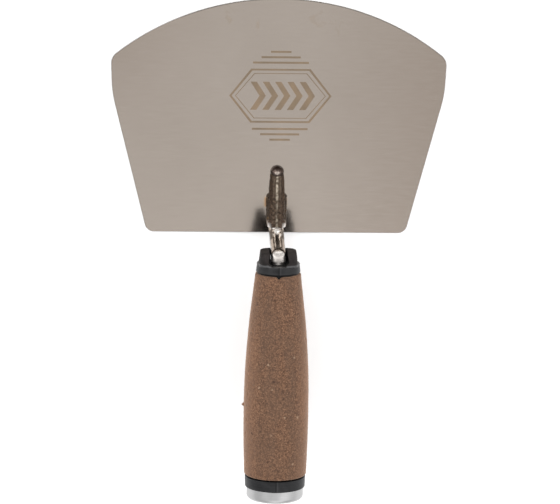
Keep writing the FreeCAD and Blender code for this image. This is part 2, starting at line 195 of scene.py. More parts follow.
def remeshed(name, node, voxel, smoothing):
    """Even fine mesh of a CAD node with its sharp edges eased."""
    source = NODES[node].data.copy()
    source.name = name
    holder = bpy.data.objects.new(name + "_work", source)
    SCENE.collection.objects.link(holder)
    weld = holder.modifiers.new("weld", "WELD")
    weld.merge_threshold = 1e-6
    remesh = holder.modifiers.new("voxels", "REMESH")
    remesh.mode = "VOXEL"
    remesh.voxel_size = voxel
    ease = holder.modifiers.new("ease", "SMOOTH")
    ease.iterations = smoothing
    bpy.context.view_layer.update()
    graph = bpy.context.evaluated_depsgraph_get()
    mesh = bpy.data.meshes.new_from_object(holder.evaluated_get(graph))
    bpy.data.objects.remove(holder)
    mesh.name = name
    return mesh


def window(value, low, high, soft):
    """1 between low and high, falling smoothly to 0 over soft on each side."""
    def ramp(t):
        t = min(max(t, 0.0), 1.0)
        return t * t * (3 - 2 * t)
    return ramp((value - low + soft) / soft) * ramp((high + soft - value) / soft)


def hump(value, width):
    """Smooth bump: 1 at zero, falling away over width."""
    return math.exp(-(value / width) ** 2)


def reshape(mesh, shift):
    """Move every vertex by shift(place, normal)."""
    moved = []
    for vertex in mesh.vertices:
        moved.append(vertex.co + shift(vertex.co, vertex.normal))
    for vertex, place in zip(mesh.vertices, moved):
        vertex.co = place
    mesh.update()


# ---------------------------------------------------------------- material helpers

class Shader:
    """Short way to write a procedural material."""

    def __init__(self, name):
        self.material = bpy.data.materials.new(name)
        self.material.use_nodes = True
        self.tree = self.material.node_tree
        self.surface = self.tree.nodes["Principled BSDF"]
        self.place = self.node("ShaderNodeTexCoord").outputs["Object"]

    def node(self, kind, **settings):
        made = self.tree.nodes.new(kind)
        for key, value in settings.items():
            setattr(made, key, value)
        return made

    def link(self, source, target):
        self.tree.links.new(source, target)

    def put(self, socket, value):
        """Set a socket of the surface to a number, a colour or another node's output."""
        target = self.surface.inputs[socket]
        if isinstance(value, bpy.types.NodeSocket):
            self.link(value, target)
        else:
            target.default_value = value

    def stretched(self, scale=(1, 1, 1), turn=(0, 0, 0)):
        mapping = self.node("ShaderNodeMapping")
        mapping.inputs["Scale"].default_value = scale
        mapping.inputs["Rotation"].default_value = turn
        self.link(self.place, mapping.inputs["Vector"])
        return mapping.outputs["Vector"]

    def noise(self, scale, detail=4.0, roughness=0.55, where=None, distortion=0.0):
        made = self.node("ShaderNodeTexNoise")
        made.inputs["Scale"].default_value = scale
        made.inputs["Detail"].default_value = detail
        made.inputs["Roughness"].default_value = roughness
        made.inputs["Distortion"].default_value = distortion
        self.link(where if where is not None else self.place, made.inputs["Vector"])
        return made.outputs["Fac"]

    def voronoi(self, scale, output, where):
        made = self.node("ShaderNodeTexVoronoi")
        made.inputs["Scale"].default_value = scale
        self.link(where, made.inputs["Vector"])
        return made.outputs[output]

    def ramp(self, value, stops):
        made = self.node("ShaderNodeValToRGB")
        ramp = made.color_ramp
        while len(ramp.elements) < len(stops):
            ramp.elements.new(0.5)
        for element, (position, colour) in zip(ramp.elements, stops):
            element.position = position
            element.color = (*colour, 1.0)
        self.link(value, made.inputs["Fac"])
        return made.outputs["Color"]

    def span(self, value, low, high, out_low, out_high):
        """Map low..high to out_low..out_high, held at both ends."""
        made = self.node("ShaderNodeMapRange")
        limits = {"From Min": low, "From Max": high, "To Min": out_low, "To Max": out_high}
        for key, number in limits.items():
            made.inputs[key].default_value = number
        self.link(value, made.inputs["Value"])
        return made.outputs["Result"]

    def math(self, operation, first, second=None):
        made = self.node("ShaderNodeMath", operation=operation)
        for index, value in enumerate((first, second)):
            if value is None:
                continue
            if isinstance(value, bpy.types.NodeSocket):
                self.link(value, made.inputs[index])
            else:
                made.inputs[index].default_value = value
        return made.outputs[0]

    def times(self, first, second):
        return self.math("MULTIPLY", first, second)

    def plus(self, first, second):
        return self.math("ADD", first, second)

    def minus(self, first, second):
        return self.math("SUBTRACT", first, second)

    def larger(self, first, second):
        return self.math("MAXIMUM", first, second)

    def unsigned(self, value):
        return self.math("ABSOLUTE", value)

    def spread(self, noise, width):
        """A noise value made to swing about zero, in metres."""
        return self.times(self.minus(noise, 0.5), width)

    def mix(self, factor, first, second):
        made = self.node("ShaderNodeMix", data_type="RGBA")
        for socket, value in ((made.inputs[0], factor), (made.inputs[6], first), (made.inputs[7], second)):
            if isinstance(value, bpy.types.NodeSocket):
                self.link(value, socket)
            elif isinstance(value, (int, float)):
                socket.default_value = value
            else:
                socket.default_value = (*value, 1.0)
        return made.outputs[2]

    def split(self, where=None):
        made = self.node("ShaderNodeSeparateXYZ")
        self.link(where if where is not None else self.place, made.inputs["Vector"])
        return made.outputs["X"], made.outputs["Y"], made.outputs["Z"]

    def handle_axes(self):
        """Place in the handle's own axes: across, up and station along it."""
        mapping = self.node("ShaderNodeMapping", vector_type="POINT")
        mapping.inputs["Location"].default_value = TO_HANDLE.translation
        mapping.inputs["Rotation"].default_value = TO_HANDLE.to_euler()
        self.link(self.place, mapping.inputs["Vector"])
        return self.split(mapping.outputs["Vector"])

    def length(self, first, second):
        total = self.plus(self.times(first, first), self.times(second, second))
        return self.math("SQRT", total)

    def line(self, value):
        """Vector that varies with one value only, for ring patterns."""
        made = self.node("ShaderNodeCombineXYZ")
        self.link(value, made.inputs["X"])
        return made.outputs[0]

    def bump(self, height, distance, strength=1.0, normal=None):
        made = self.node("ShaderNodeBump")
        made.inputs["Strength"].default_value = strength
        made.inputs["Distance"].default_value = distance
        self.link(height, made.inputs["Height"])
        if normal is not None:
            self.link(normal, made.inputs["Normal"])
        return made.outputs["Normal"]

    def box_distance(self, middle, half):
        """Distance in the XY plane from an upright box, in metres."""
        x, y, _ = self.split()
        across = self.minus(self.unsigned(self.minus(x, middle[0])), half[0])
        along = self.minus(self.unsigned(self.minus(y, middle[1])), half[1])
        across = self.larger(across, 0.0)
        along = self.larger(along, 0.0)
        total = self.plus(self.times(across, across), self.times(along, along))
        return self.math("SQRT", total)


# ---------------------------------------------------------------- materials

def heat_tint(shader, base):
    """Straw and brown heat colours on the plate beside the weld beads."""
    x, _, _ = shader.split()
    low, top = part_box("weld_bead_left")
    _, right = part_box("weld_bead_right")
    run = top.y - low.y
    middle = (0.0, top.y - run * 0.32)
    half = (right.x - 0.4 * MM, run * 0.10)
    reach = 2.6 * MM
    away = shader.plus(shader.box_distance(middle, half), shader.spread(shader.noise(260.0, 3.0), 1.6 * MM))
    away = shader.plus(away, shader.span(x, -2 * MM, 2 * MM, 0.0, 1.4 * MM))
    tint = shader.ramp(shader.span(away, 0.0, reach, 0.0, 1.0), [
        (0.0, (0.10, 0.05, 0.02)), (0.25, (0.50, 0.24, 0.07)), (0.55, (0.60, 0.42, 0.25)),
        (1.0, (0.55, 0.47, 0.41))])
    return shader.mix(shader.span(away, 0.0, reach, 0.85, 0.0), base, tint)


def blade_material():
    """Satin stainless: warm grey, faint grain and smudges, heat colours beside the weld, painted shade
    towards the right and the left front, and a painted dark outline on the cut edges.
    """
    shader = Shader("satin_stainless")
    grain = shader.noise(900.0, 3.0, 0.6, shader.stretched((0.12, 1.0, 1.0), (0, 0, math.radians(3))))
    cloud = shader.noise(14.0, 3.0, 0.5)
    smudge = shader.noise(60.0, 5.0, 0.62, distortion=0.8)
    x, y, _ = shader.split()
    clouds = shader.span(cloud, 0.35, 0.65, 0.0, 1.0)
    base = shader.mix(clouds, (0.503, 0.438, 0.381), (0.531, 0.464, 0.406))
    # Painted shade: the plate is darkened towards the right and towards the left front.
    painted_shade_right = shader.span(x, 20 * MM, 85 * MM, 0.0, 0.95)
    painted_shade_left = shader.times(shader.span(x, -30 * MM, -85 * MM, 0.0, 0.85),
                              shader.span(y, -20 * MM, 50 * MM, 0.0, 1.0))
    base = shader.mix(shader.larger(painted_shade_right, painted_shade_left), base, (0.436, 0.366, 0.312))
    base = shader.mix(shader.span(grain, 0.3, 0.7, 0.0, 0.08), base, (0.64, 0.59, 0.54))
    front = shader.span(y, 30 * MM, 55 * MM, 0.0, 1.0)
    middle = shader.span(shader.unsigned(x), 30 * MM, 50 * MM, 1.0, 0.0)
    mark = shader.times(shader.span(smudge, 0.62, 0.70, 0.0, 0.45), shader.times(front, middle))
    base = shader.mix(mark, base, (0.40, 0.32, 0.24))
    base = heat_tint(shader, base)
    # Painted shade: faces that do not point straight up, the bevels and sides of the plate, are darkened
    # into a dark outline.
    facing = shader.node("ShaderNodeNewGeometry").outputs["True Normal"]
    _, _, upward = shader.split(facing)
    painted_edge_shade = shader.span(shader.unsigned(upward), 0.90, 0.97, 0.85, 0.0)
    shader.put("Base Color", shader.mix(painted_edge_shade, base, (0.12, 0.10, 0.085)))
    shader.put("Metallic", 1.0)
    shader.put("Roughness", shader.plus(shader.span(grain, 0.2, 0.8, 0.11, 0.16), shader.times(mark, 0.2)))
    fine = shader.bump(grain, 0.003 * MM, 0.4)
    shader.put("Normal", shader.bump(cloud, 0.2 * MM, 0.1, fine))
    return shader.material


def etched_material():
    """Tan etched metal, a little rougher and darker than the plate round it."""
    shader = Shader("etched_tan")
    speckle = shader.noise(2500.0, 2.0)
    patch = shader.noise(70.0, 3.0)
    base = shader.mix(shader.span(patch, 0.35, 0.7, 0.0, 1.0), (0.165, 0.122, 0.082), (0.245, 0.172, 0.108))
    base = shader.mix(shader.span(speckle, 0.35, 0.75, 0.0, 0.35), base, (0.30, 0.24, 0.18))
    shader.put("Base Color", base)
    shader.put("Metallic", 0.6)
    shader.put("Roughness", 0.55)
    return shader.material


def along_band(shader, value, low, high, soft):
    """1 where a coordinate lies between low and high, fading out over soft."""
    rise = shader.span(value, low - soft, low, 0.0, 1.0)
    fall = shader.span(value, high, high + soft, 1.0, 0.0)
    return shader.times(rise, fall)


def neck_steel(shader, forge, aside, height):
    """Bright bare steel of the neck and shank: dark scale and painted shade in the hollows of the forging
    and on its lower flanks, a painted dark V and painted grey side facets higher up, a painted dark line
    where the bend curves away, and random dark stains.
    """
    x, y, _ = shader.split()
    bright = shader.mix(shader.span(forge, 0.3, 0.7, 0.0, 1.0), (0.70, 0.650, 0.610), (0.90, 0.855, 0.81))
    # Flanks: dark scale with painted shade on the sides of the neck low down.
    flank = shader.times(shader.span(aside, 1.9 * MM, 2.7 * MM, 0.0, 1.0),
                         along_band(shader, height, FOOT_TOP + 0.1 * MM, FOOT_TOP + 11.5 * MM, 2.4 * MM))
    # Flute: dark scale with painted shade in the groove down the front of the neck.
    flute = shader.times(shader.span(aside, 0.5 * MM, 1.2 * MM, 1.0, 0.0),
                         along_band(shader, height, FOOT_TOP + 4.6 * MM, FOOT_TOP + 24.0 * MM, 1.5 * MM))
    # Waist: a painted dark V between the side facets.
    waist = shader.times(shader.span(aside, 0.9 * MM, 1.9 * MM, 1.0, 0.0),
                         along_band(shader, height, FOOT_TOP + 14.0 * MM, BEND - 1.0 * MM, 1.5 * MM))
    # Lip: a painted dark line along the arch where the bend of the shank curves away from the light.
    curve = 230.0
    arch = shader.minus(height, shader.times(shader.times(x, x), curve))
    lip = shader.times(along_band(shader, arch, BEND - 1.3 * MM, BEND - 0.2 * MM, 0.6 * MM),
                       shader.span(aside, 3.3 * MM, 3.6 * MM, 1.0, 0.4))
    # Grey: painted shade on the side facets higher up the neck.
    grey = shader.times(shader.span(aside, 1.7 * MM, 2.1 * MM, 0.0, 0.75),
                        along_band(shader, height, FOOT_TOP + 13.5 * MM, BEND + 2.0 * MM, 1.0 * MM))
    steel = shader.mix(grey, bright, (0.30, 0.275, 0.26))
    shade = shader.larger(shader.larger(flank, flute), shader.larger(shader.times(waist, 0.8), lip))
    stain = shader.span(shader.noise(190.0, 3.0), 0.55, 0.75, 0.0, 0.35)
    steel = shader.mix(shader.larger(shade, stain), steel, (0.048, 0.036, 0.028))
    shank = shader.span(y, BACK_EDGE - 3.0 * MM, BACK_EDGE - 0.5 * MM, 1.0, 0.0)
    return shader.mix(shader.times(shank, 0.4), steel, (0.50, 0.47, 0.44)), shank


def foot_scale(shader, forge, scale, aside):
    """Dark brown scale of the foot, lighter on its slopes, with a painted highlight along its crest."""
    _, y, _ = shader.split()
    front_of_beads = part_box("weld_bead_left")[1].y
    ahead = shader.span(y, front_of_beads - 2 * MM, front_of_beads + 1 * MM, 0.55, 1.0)
    flecks = shader.span(scale, 0.38, 0.62, 0.0, 1.0)
    dark = shader.mix(flecks, (0.012, 0.007, 0.005), (0.088, 0.056, 0.036))
    slope = shader.times(shader.span(aside, 1.9 * MM, 2.7 * MM, 0.55, 0.0), ahead)
    slope = shader.times(slope, shader.span(forge, 0.35, 0.6, 0.2, 1.0))
    foot = shader.mix(slope, dark, (0.120, 0.092, 0.068))
    patchy = shader.span(shader.noise(420.0, 3.0), 0.42, 0.56, 0.15, 1.0)
    # Painted highlight: a bright line along the crest of the foot.
    crest = shader.times(shader.span(aside, 0.35 * MM, 0.75 * MM, 0.95, 0.0), patchy)
    return shader.mix(shader.times(crest, ahead), foot, (0.50, 0.43, 0.34))


def tang_material():
    """Forged steel: bright bare steel on the neck, dark scale and painted shade in its hollows, dark scale
    on the foot, with painted highlights left bright on the shoulders.
    """
    shader = Shader("forged_steel")
    x, y, z = shader.split()
    forge = shader.noise(420.0, 4.0, 0.6)
    scale = shader.noise(1500.0, 4.0, 0.65)
    wobble = shader.spread(shader.noise(500.0, 3.0), 2.2 * MM)
    aside = shader.plus(shader.unsigned(x), shader.times(wobble, 0.35))
    height = shader.plus(z, wobble)
    steel, shank = neck_steel(shader, forge, aside, height)
    foot = foot_scale(shader, forge, scale, aside)

    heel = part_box("weld_bead_left")[0].y
    back = shader.span(shader.plus(y, wobble), heel - 1.8 * MM, heel - 0.8 * MM, 0.0, 1.0)
    under = shader.span(height, FOOT_TOP + 0.3 * MM, FOOT_TOP + 1.6 * MM, 1.0, 0.0)
    # Painted highlight: the shoulders at the heel keep the bright steel colour instead of the foot's dark
    # scale.
    shoulder = shader.times(shader.span(aside, 2.7 * MM, 3.2 * MM, 0.0, 1.0),
                            shader.span(y, heel - 0.4 * MM, heel + 1.6 * MM, 1.0, 0.0))
    burnt = shader.times(shader.times(back, under), shader.minus(1.0, shoulder))
    shader.put("Base Color", shader.mix(burnt, steel, foot))
    shader.put("Metallic", shader.span(burnt, 0.0, 1.0, 1.0, 0.8))
    rough = shader.plus(shader.span(forge, 0.3, 0.7, 0.18, 0.28), shader.times(burnt, 0.14))
    shader.put("Roughness", shader.plus(rough, shader.times(shank, 0.30)))
    fine = shader.bump(scale, 0.08 * MM, 0.5)
    shader.put("Normal", shader.bump(forge, 0.18 * MM, 0.5, fine))
    return shader.material


def weld_material():
    """Weld metal: dark oxide with brown and straw glints."""
    shader = Shader("weld_oxide")
    scale = shader.noise(1100.0, 5.0, 0.65)
    broad = shader.noise(330.0, 3.0)
    flecks = shader.span(scale, 0.35, 0.65, 0.0, 1.0)
    base = shader.mix(flecks, (0.014, 0.011, 0.010), (0.095, 0.068, 0.048))
    base = shader.mix(shader.span(broad, 0.55, 0.75, 0.0, 0.7), base, (0.24, 0.14, 0.06))
    shader.put("Base Color", base)
    shader.put("Metallic", 0.85)
    shader.put("Roughness", shader.span(scale, 0.3, 0.7, 0.28, 0.5))
    shader.put("Normal", shader.bump(scale, 0.12 * MM, 0.6))
    return shader.material


def puddle_material():
    """Smooth frozen weld puddle: painted highlight on the crown, dark brown flanks and rim."""
    shader = Shader("weld_puddle")
    x, y, _ = shader.split()
    patch = shader.noise(700.0, 3.0)
    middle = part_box("weld_nose")[1].y - 3.1 * MM
    squeeze = 0.55
    across = shader.times(shader.times(x, x), squeeze)
    ahead = shader.minus(y, middle)
    away = shader.math("SQRT", shader.plus(across, shader.times(ahead, ahead)))
    away = shader.plus(away, shader.spread(patch, 1.1 * MM))
    # Painted highlight: the bright centre of the ramp sits on the crown of the puddle.
    base = shader.ramp(shader.span(away, 0.0, 2.6 * MM, 0.0, 1.0), [
        (0.0, (0.46, 0.40, 0.36)), (0.26, (0.30, 0.25, 0.22)), (0.48, (0.095, 0.070, 0.060)),
        (1.0, (0.030, 0.020, 0.016))])
    shader.put("Base Color", base)
    shader.put("Metallic", 1.0)
    shader.put("Roughness", shader.span(patch, 0.3, 0.7, 0.20, 0.32))
    shader.put("Normal", shader.bump(patch, 0.10 * MM, 0.5))
    return shader.material


def warped_place(shader):
    """Object place pushed about by noise, so that cells lose their straight edges."""
    drift = shader.node("ShaderNodeTexNoise")
    drift.inputs["Scale"].default_value = 700.0
    shader.link(shader.place, drift.inputs["Vector"])
    push = shader.node("ShaderNodeVectorMath", operation="SCALE")
    push.inputs["Scale"].default_value = 1.2 * MM
    shader.link(drift.outputs["Color"], push.inputs[0])
    warped = shader.node("ShaderNodeVectorMath", operation="ADD")
    shader.link(shader.place, warped.inputs[0])
    shader.link(push.outputs[0], warped.inputs[1])
    return warped.outputs[0]


def cork_material():
    """Moulded cork: suede-like brown granules, soft broad patches, small pits, few pale flecks and painted
    light towards its sides.
    """
    shader = Shader("moulded_cork")
    granule = 1500.0
    speck = 430.0
    where = warped_place(shader)
    grain, _, _ = shader.split(shader.voronoi(granule, "Color", where))
    crumb = shader.voronoi(granule, "Distance", where)
    rare, pick, _ = shader.split(shader.voronoi(speck, "Color", where))
    spot = shader.voronoi(speck, "Distance", where)
    soft = shader.noise(1500.0, 3.0, 0.6, shader.stretched((1.0, 0.75, 1.0)))
    broad = shader.noise(95.0, 5.0, 0.62, shader.stretched((1.5, 0.40, 1.2)))
    blend = shader.plus(shader.times(grain, 0.34), shader.times(soft, 0.66))
    base = shader.ramp(blend, [
        (0.26, (0.055, 0.026, 0.015)), (0.42, (0.121, 0.062, 0.036)),
        (0.56, (0.180, 0.094, 0.054)), (0.74, (0.262, 0.141, 0.083))])
    base = shader.mix(shader.span(broad, 0.40, 0.60, 0.0, 0.42), base, (0.112, 0.069, 0.047))
    base = shader.mix(shader.span(crumb, 0.42, 0.62, 0.0, 0.38), base, (0.070, 0.036, 0.021))
    x, _, _ = shader.split()
    # Painted light: the cork is lightened towards its left and right sides.
    painted_side_light = shader.plus(shader.unsigned(x), shader.spread(soft, 6 * MM))
    base = shader.mix(shader.span(painted_side_light, 9 * MM, 16.5 * MM, 0.0, 0.30), base, (0.300, 0.155, 0.090))
    fleck = shader.times(shader.span(rare, 0.985, 0.99, 0.0, 0.36), shader.span(spot, 0.15, 0.35, 1.0, 0.0))
    base = shader.mix(fleck, base, (0.52, 0.37, 0.25))
    pit = shader.times(shader.span(pick, 0.955, 0.965, 0.0, 0.75), shader.span(spot, 0.15, 0.38, 1.0, 0.0))
    base = shader.mix(pit, base, (0.040, 0.020, 0.014))
    shader.put("Base Color", base)
    shader.put("Roughness", shader.span(grain, 0.0, 1.0, 0.75, 0.92))
    shader.put("Specular IOR Level", 0.25)
    shader.put("Sheen Weight", 0.55)
    shader.put("Sheen Roughness", 0.35)
    shader.put("Sheen Tint", (1.0, 0.76, 0.60, 1.0))
    fine = shader.bump(shader.noise(4200.0, 3.0), 0.04 * MM, 0.5)
    shader.put("Normal", shader.bump(shader.minus(1.0, crumb), 0.09 * MM, 0.5, fine))
    return shader.material


def collar_rim():
    """Station of the front edge of the collar's band, behind the narrower ears."""
    collar = handle_points("front_collar")
    width = np.abs(collar[:, 0])
    return collar[width > 0.9 * width.max(), 2].min()


def plastic_material():
    """Black moulded plastic: browner dull ears, ring marks round the bands, a painted highlight along the
    band's front rim and beside the seam, painted shade in the seam, in the wells beside the neck and at the
    joins with the cork.
    """
    shader = Shader("black_moulded_plastic")
    x, y, station = shader.handle_axes()
    texture = shader.noise(2600.0, 3.0, 0.6)
    broad = shader.noise(240.0, 3.0)
    marks = shader.noise(1900.0, 2.0, where=shader.line(station))
    rim = collar_rim()
    ahead_of_rim = (rim - 0.5 * MM, rim - 0.2 * MM)
    black = shader.span(broad, 0.35, 0.65, 0.0, 1.0)
    base = shader.mix(black, (0.0085, 0.0088, 0.0094), (0.017, 0.017, 0.018))
    base = shader.mix(shader.span(marks, 0.45, 0.65, 0.0, 0.8), base, (0.024, 0.0245, 0.026))
    brown = shader.span(broad, 0.3, 0.7, 0.0, 1.0)
    dull = shader.mix(brown, (0.0110, 0.0090, 0.0085), (0.028, 0.0230, 0.022))
    base = shader.mix(shader.span(station, *ahead_of_rim, 1.0, 0.0), base, dull)

    # Painted highlight: a light grey line along the front rim of the band.
    ragged = shader.spread(shader.noise(700.0, 3.0), 1.2 * MM)
    painted_rim_highlight = shader.unsigned(shader.minus(shader.plus(station, ragged), rim + 0.15 * MM))
    outside = shader.span(shader.length(x, y), 10.6 * MM, 11.0 * MM, 0.0, 1.0)
    painted_rim_highlight = shader.times(shader.span(painted_rim_highlight, 0.1 * MM, 0.75 * MM, 0.85, 0.0), outside)
    base = shader.mix(painted_rim_highlight, base, (0.080, 0.079, 0.081))

    above = shader.times(outside, shader.span(y, 0.0, 5.0 * MM, 0.0, 1.0))
    # Painted highlight: a lighter strip just beside the seam on top of the band.
    beside = shader.unsigned(shader.minus(x, 0.75 * MM))
    glint = shader.times(shader.span(beside, 0.15 * MM, 0.7 * MM, 0.35, 0.0), above)
    base = shader.mix(glint, base, (0.055, 0.055, 0.057))

    # Painted shade: the inner walls of the wells beside the neck are made near black.
    wall = shader.span(station, rim - 7.1 * MM, rim - 1.5 * MM, 4.6 * MM, 5.8 * MM)
    well = shader.span(shader.minus(shader.unsigned(x), wall), 0.0, 0.3 * MM, 1.0, 0.0)
    well = shader.times(well, shader.span(y, 7.0 * MM, 8.6 * MM, 1.0, 0.0))
    well = shader.times(well, shader.span(station, rim + 0.4 * MM, rim + 0.7 * MM, 1.0, 0.0))
    base = shader.mix(well, base, (0.0012, 0.0011, 0.0011))

    # Painted shade: a near-black line along the seam.
    painted_seam_shade = shader.span(shader.unsigned(x), 0.15 * MM, 0.38 * MM, 0.9, 0.0)
    base = shader.mix(shader.times(painted_seam_shade, above), base, (0.0020, 0.0020, 0.0022))
    collar_end = handle_profile("front_collar")[0].max()
    grip_end = handle_profile("cork_grip")[0].max()
    # Painted shade: near-black bands where the collar and the rear ring meet the cork.
    front_gap = shader.unsigned(shader.minus(station, collar_end + 0.4 * MM))
    front_gap = shader.minus(front_gap, 0.85 * MM)
    rear_gap = shader.unsigned(shader.minus(station, grip_end + 0.3 * MM))
    gap_shade = shader.span(shader.math("MINIMUM", front_gap, rear_gap), 0.45 * MM, 0.65 * MM, 1.0, 0.0)
    shader.put("Base Color", shader.mix(gap_shade, base, (0.0012, 0.0010, 0.0009)))

    satin = shader.span(texture, 0.3, 0.7, 0.32, 0.46)
    matte = shader.larger(shader.span(station, *ahead_of_rim, 0.35, 0.0), shader.times(well, 0.5))
    shader.put("Roughness", shader.plus(satin, matte))
    shader.put("Specular IOR Level", 0.17)
    shader.put("Normal", shader.bump(texture, 0.03 * MM, 0.5, shader.bump(marks, 0.04 * MM, 0.6)))
    return shader.material


def hidden_plastic_material():
    """Plain dark plastic of the tube inside the grip, with faint flow marks."""
    shader = Shader("core_plastic")
    flow = shader.noise(150.0, 3.0, where=shader.stretched((1, 0.1, 1)))
    shader.put("Base Color", shader.mix(flow, (0.035, 0.035, 0.036), (0.06, 0.06, 0.062)))
    shader.put("Roughness", 0.5)
    return shader.material


def fastener_material():
    """Bright plated steel of the hidden washer and nut."""
    shader = Shader("plated_steel")
    wear = shader.noise(900.0, 4.0)
    shader.put("Base Color", shader.mix(wear, (0.50, 0.50, 0.49), (0.66, 0.65, 0.62)))
    shader.put("Metallic", 1.0)
    shader.put("Roughness", shader.span(wear, 0.3, 0.7, 0.25, 0.4))
    return shader.material


def aluminium_material():
    """Turned aluminium: fine tool rings about the handle axis and a few dull spots."""
    shader = Shader("turned_aluminium")
    x, y, z = shader.handle_axes()
    rings = shader.noise(3600.0, 2.0, where=shader.line(shader.plus(shader.length(x, y), z)))
    dull = shader.noise(170.0, 3.0)
    base = shader.mix(shader.span(rings, 0.3, 0.7, 0.0, 1.0), (0.345, 0.345, 0.349), (0.545, 0.545, 0.545))
    base = shader.mix(shader.span(dull, 0.5, 0.75, 0.0, 0.3), base, (0.352, 0.352, 0.352))
    shader.put("Base Color", base)
    shader.put("Metallic", 1.0)
    shader.put("Roughness", shader.span(rings, 0.3, 0.7, 0.30, 0.42))
    shader.put("Normal", shader.bump(rings, 0.01 * MM, 0.5))
    return shader.material


def floor_material():
    shader = Shader("pale_floor")
    soft = shader.noise(6.0, 2.0)
    shader.put("Base Color", shader.mix(soft, (0.955, 0.955, 0.955), (0.965, 0.965, 0.965)))
    shader.put("Roughness", 0.9)
    return shader.material


# ---------------------------------------------------------------- the mark on the blade

def prism(work, outline, low, high, hole=None):
    """Thin closed slab over an outline, or between an outline and a hole with as many corners."""
    def ring(points, height):
        return [work.verts.new((x, y, height)) for x, y in points]
    outer_low = ring(outline, low)
    outer_high = ring(outline, high)
    count = len(outline)
    for step in range(count):
        after = (step + 1) % count
        work.faces.new((outer_low[step], outer_low[after], outer_high[after], outer_high[step]))
    if hole is None:
        work.faces.new(outer_high)
        work.faces.new(list(reversed(outer_low)))
        return
    inner_low = ring(hole, low)
    inner_high = ring(hole, high)
    for step in range(count):
        after = (step + 1) % count
        work.faces.new((inner_low[after], inner_low[step], inner_high[step], inner_high[after]))
        work.faces.new((outer_high[step], outer_high[after], inner_high[after], inner_high[step]))
        work.faces.new((outer_low[after], outer_low[step], inner_low[step], inner_low[after]))


def build_mark():
    """Generic etched mark: a double hexagon frame round plain chevrons, with bars above and below."""
    centre = Vector((1.0, 11.5)) * MM
    low = BLADE_TOP - 0.01 * MM
    high = BLADE_TOP + 0.012 * MM
    chevron_pitch = 6.6
    chevron_half = 7.8
    chevron_width = 3.4
    chevron_point = 5.0
    bar_height = 1.1
    work = bmesh.new()

    def put(points):
        return [(centre.x + x * MM, centre.y + y * MM) for x, y in points]

    def hexagon(width, height):
        flat = width * 0.58
        return put([(width, 0), (flat, height), (-flat, height),
                    (-width, 0), (-flat, -height), (flat, -height)])

    prism(work, hexagon(27.5, 15.0), low, high, hexagon(26.2, 14.0))
    prism(work, hexagon(24.4, 12.6), low, high, hexagon(23.9, 12.2))
    for step in range(-2, 3):
        back = chevron_pitch * step - 3.0
        front = back + chevron_width
        chevron = [(back, chevron_half), (front, chevron_half), (front + chevron_point, 0),
                   (front, -chevron_half), (back, -chevron_half), (back + chevron_point, 0)]
        prism(work, put(chevron), low, high)
    for side in (-1, 1):
        for width, away in ((30.0, 18.4), (21.0, 21.4), (11.0, 24.4)):
            half = width / 2
            bottom = side * away - bar_height / 2
            top = side * away + bar_height / 2
            prism(work, put([(-half, bottom), (half, bottom), (half, top), (-half, top)]), low, high)
    bmesh.ops.recalc_face_normals(work, faces=work.faces)
    mesh = bpy.data.meshes.new("etched_mark")
    work.to_mesh(mesh)
    work.free()
    add_piece("etched_mark", mesh, etched_material(), "stainless_blade", smooth=False)


# ---------------------------------------------------------------- tang and weld

def build_tang():
    """Forged tang with eased edges, a fluted neck, flared shoulders and hammered flanks."""
    mesh = remeshed("forged_tang", "tang", voxel=0.33 * MM, smoothing=7)
    heel, front_of_beads = (corner.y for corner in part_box("weld_bead_left"))
    tang_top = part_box("tang")[1].z
    flute_depth = 1.35 * MM
    knob_lift = 1.6 * MM
    bud_lift = 1.1 * MM
    shoulder_flare = 0.9 * MM

    def neck_relief(x, z):
        """How far the neck's front stands out: a knob, two buds above it and a long flute."""
        knob = hump(z - FOOT_TOP - 1.9 * MM, 1.5 * MM) * hump(x, 2.0 * MM)
        bud = hump(z - FOOT_TOP - 7.4 * MM, 1.5 * MM)
        pair = hump(x + 2.0 * MM, 0.9 * MM) + hump(x - 2.0 * MM, 0.9 * MM)
        flute = window(z, FOOT_TOP + 4.5 * MM, FOOT_TOP + 22.5 * MM, 3.0 * MM) * hump(x, 1.05 * MM)
        return knob_lift * knob + bud_lift * bud * pair - flute_depth * flute

    def shift(place, normal):
        x, y, z = place
        move = Vector((0, neck_relief(x, z) * max(normal.y, 0.0), 0))
        on_foot = window(y, heel + 0.5 * MM, 0.0, 1.5 * MM)
        on_top = window(z, BLADE_TOP + 0.2 * MM, FOOT_TOP + 1.0 * MM, 0.5 * MM)
        if on_foot * on_top > 0:
            rough = noise.noise(place * 560.0) * 0.40 * MM + noise.noise(place * 1500.0) * 0.13 * MM
            calm = 1.0 - 0.55 * window(y, front_of_beads, 0.0, 3.0 * MM)
            crest = 1.0 - 0.7 * hump(x, 0.6 * MM)
            move += normal * (rough * crest * calm) * on_foot * on_top
        if z < FOOT_TOP + 1.0 * MM:
            shoulder = window(y, heel - 0.6 * MM, heel + 1.2 * MM, 1.4 * MM)
            move.x += math.copysign(shoulder_flare * shoulder * abs(normal.x), x)
        if z < tang_top - 12 * MM or y > BACK_EDGE - 9 * MM:
            move += normal * (noise.noise(place * 190.0) * 0.14 * MM)
        return move

    reshape(mesh, shift)
    for vertex in mesh.vertices:
        if vertex.co.z < BLADE_TOP and vertex.co.y > BACK_EDGE:
            vertex.co.z = BLADE_TOP
    add_piece("forged_tang", mesh, tang_material(), "forged_steel", "tang")


